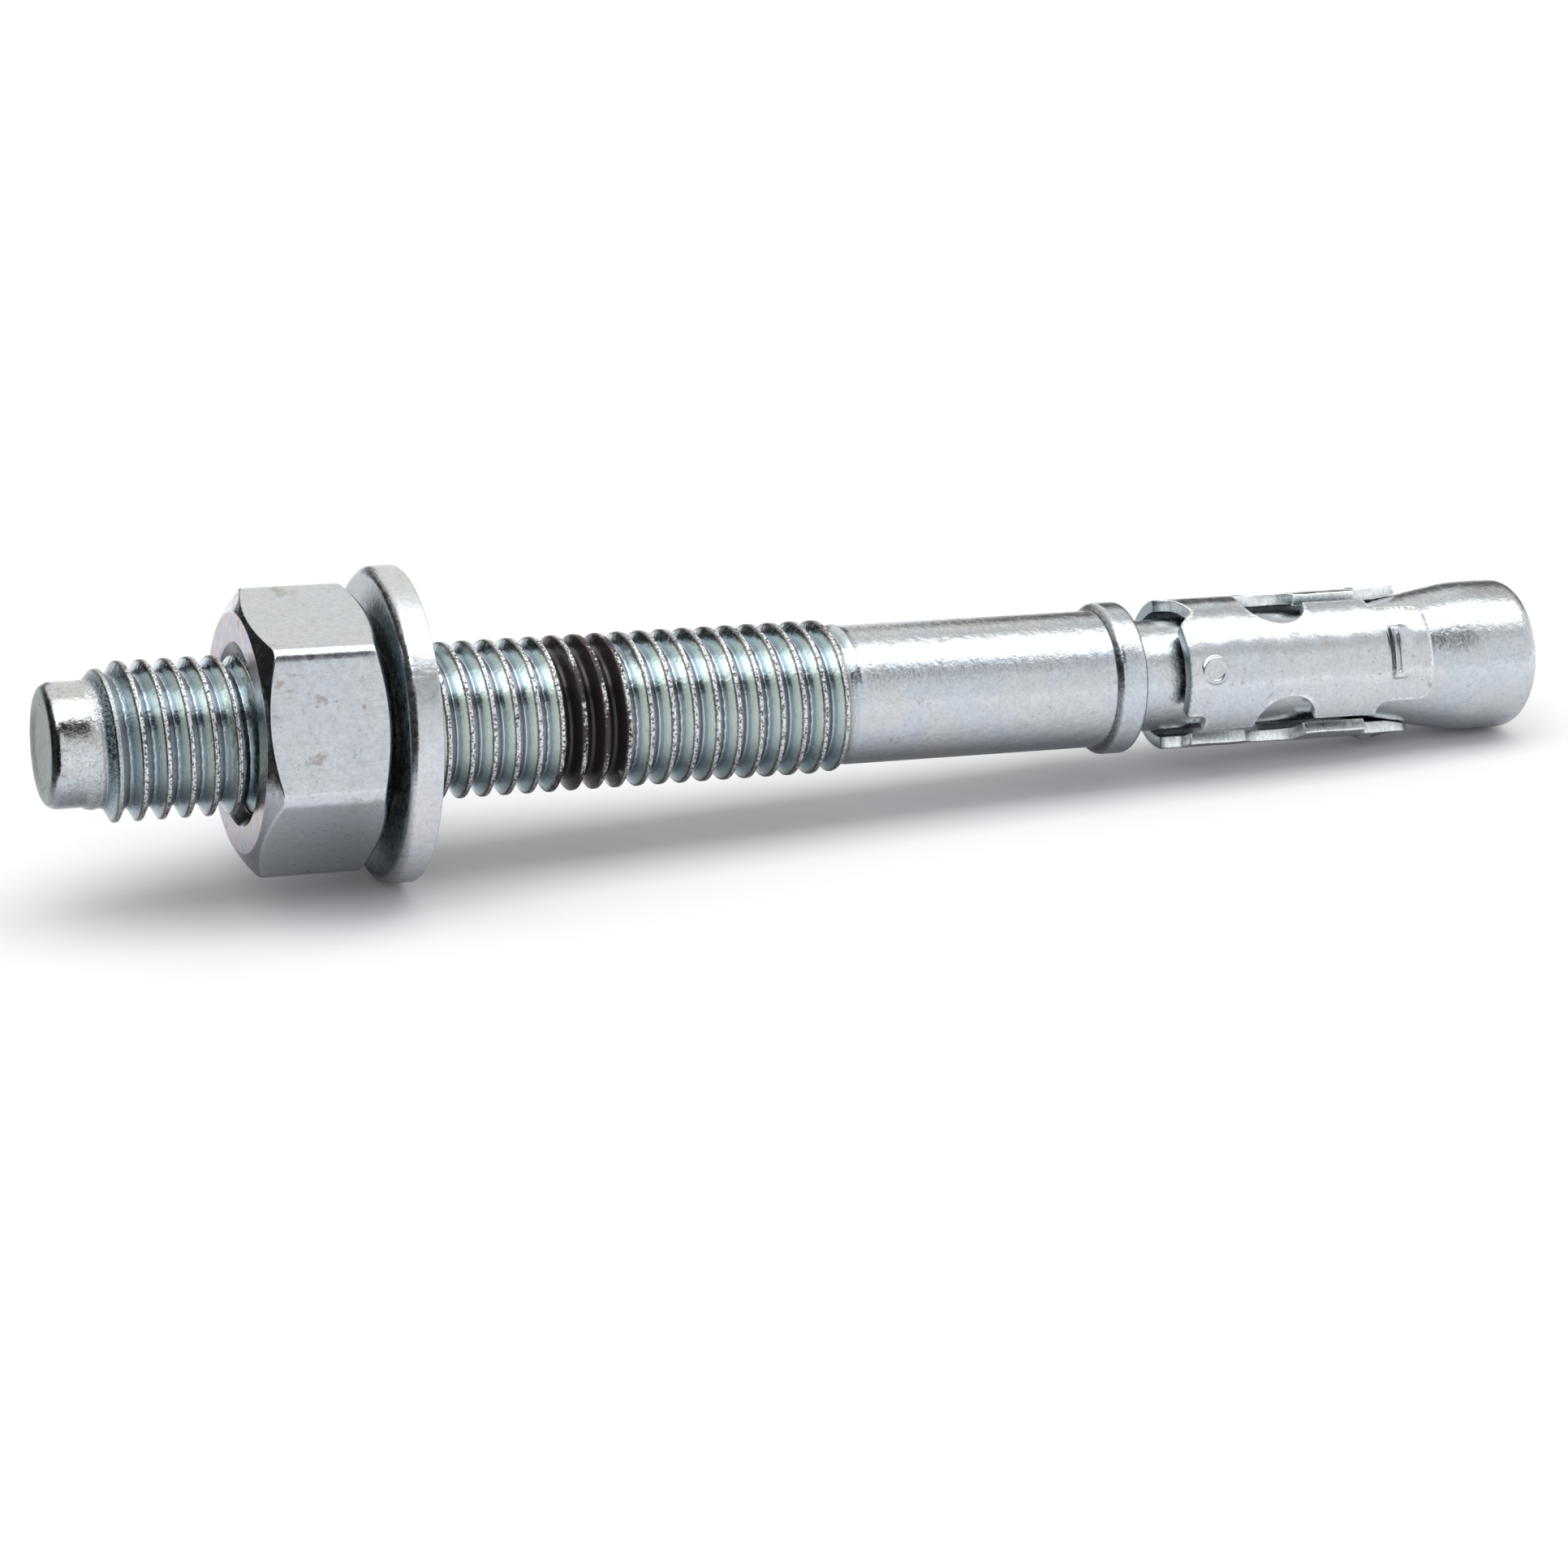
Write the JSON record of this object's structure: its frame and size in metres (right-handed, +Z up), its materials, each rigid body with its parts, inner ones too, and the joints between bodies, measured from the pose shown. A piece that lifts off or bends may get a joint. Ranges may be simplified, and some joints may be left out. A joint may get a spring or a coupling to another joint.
{
  "type": "expansion anchor",
  "caption": "Steel through-bolt expansion anchor lying on its side: threaded stud with hexagon nut, plain washer, collar, and a slit stamped sleeve round the neck before a flared cone.",
  "frame": {"origin": "centre of the anchor's bounding box, on the flat surface that it lies on", "axes": "+X along the anchor from its thread end towards its cone end, which dips 3.6 degrees below level; +Z up; -Y is the side that faces the viewer"},
  "size_m": [0.121, 0.0237, 0.0238],
  "materials": {
    "stud_steel": "bright zinc plating, satin on the shank, streaked in the thread",
    "sleeve_steel": "bright zinc plating on stamped sheet, bare streaked cut edges",
    "washer_steel": "bright zinc plating, sheared rim",
    "nut_steel": "bright zinc plating, faintly iridescent"
  },
  "bodies": {
    "stud": {"stud": "stud_steel"},
    "washer": {"washer": "washer_steel"},
    "nut": {"nut": "nut_steel"},
    "sleeve": {"expansion_sleeve": "sleeve_steel"}
  },
  "joints": [
    {"name": "washer_slide", "type": "slide", "parent": "stud", "child": "washer", "axis": [0.998, 0, -0.0632], "range_m": [-0.0195, 0.036]},
    {"name": "nut_spin", "type": "hinge", "parent": "washer", "child": "nut", "pos_m": [-0.04076, 0, 0.0123], "axis": [0.998, 0, -0.0632], "range_deg": [-4010, 7404]},
    {"name": "sleeve_spin", "type": "hinge", "parent": "stud", "child": "sleeve", "pos_m": [0.03975, 0, 0.0072], "axis": [0.998, 0, -0.0632], "continuous": true}
  ],
  "couplings": [
    {"joint": "washer_slide", "follows": "nut_spin", "m_per_rad": 0.00027852}
  ]
}
